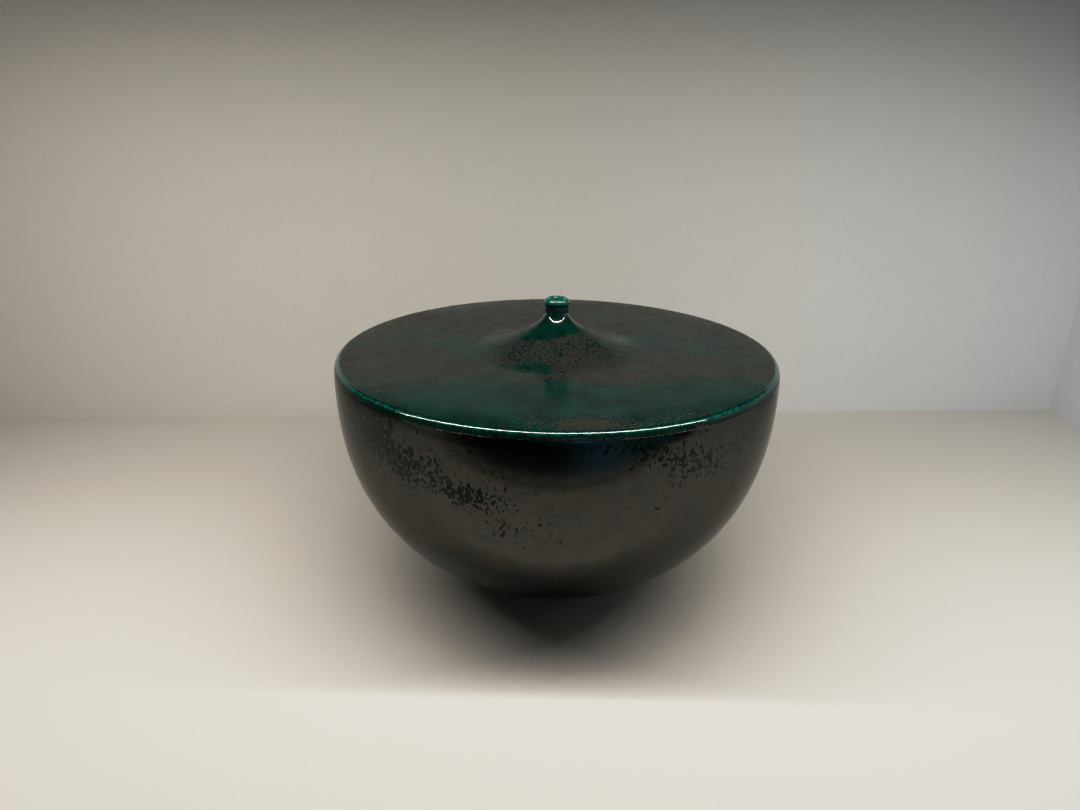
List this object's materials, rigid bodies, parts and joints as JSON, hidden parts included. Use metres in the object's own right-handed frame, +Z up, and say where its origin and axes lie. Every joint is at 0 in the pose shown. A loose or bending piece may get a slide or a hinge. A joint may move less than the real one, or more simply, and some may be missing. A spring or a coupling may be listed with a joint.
{
  "type": "rice bowl",
  "caption": "Round-bellied covered bowl on a low foot ring; its flat lid rises into a small open neck at the centre and lifts off.",
  "frame": {"origin": "on the axis of revolution, in the plane the foot ring stands on", "axes": "+Z up along the axis of revolution, out through the lid's neck; X and Y lie in the standing plane"},
  "size_m": [0.2, 0.2, 0.1353],
  "materials": {
    "bowl_glaze": "dark green glaze under a dull gunmetal lustre, glossy",
    "lid_glaze": "deep green glaze with gunmetal speckle, glossy"
  },
  "bodies": {
    "bowl": {"bowl": "bowl_glaze"},
    "lid": {"lid": "lid_glaze"}
  },
  "joints": [
    {"name": "lid_lift", "type": "slide", "parent": "bowl", "child": "lid", "axis": [0, 0, 1], "range_m": [0, 0.12]}
  ]
}
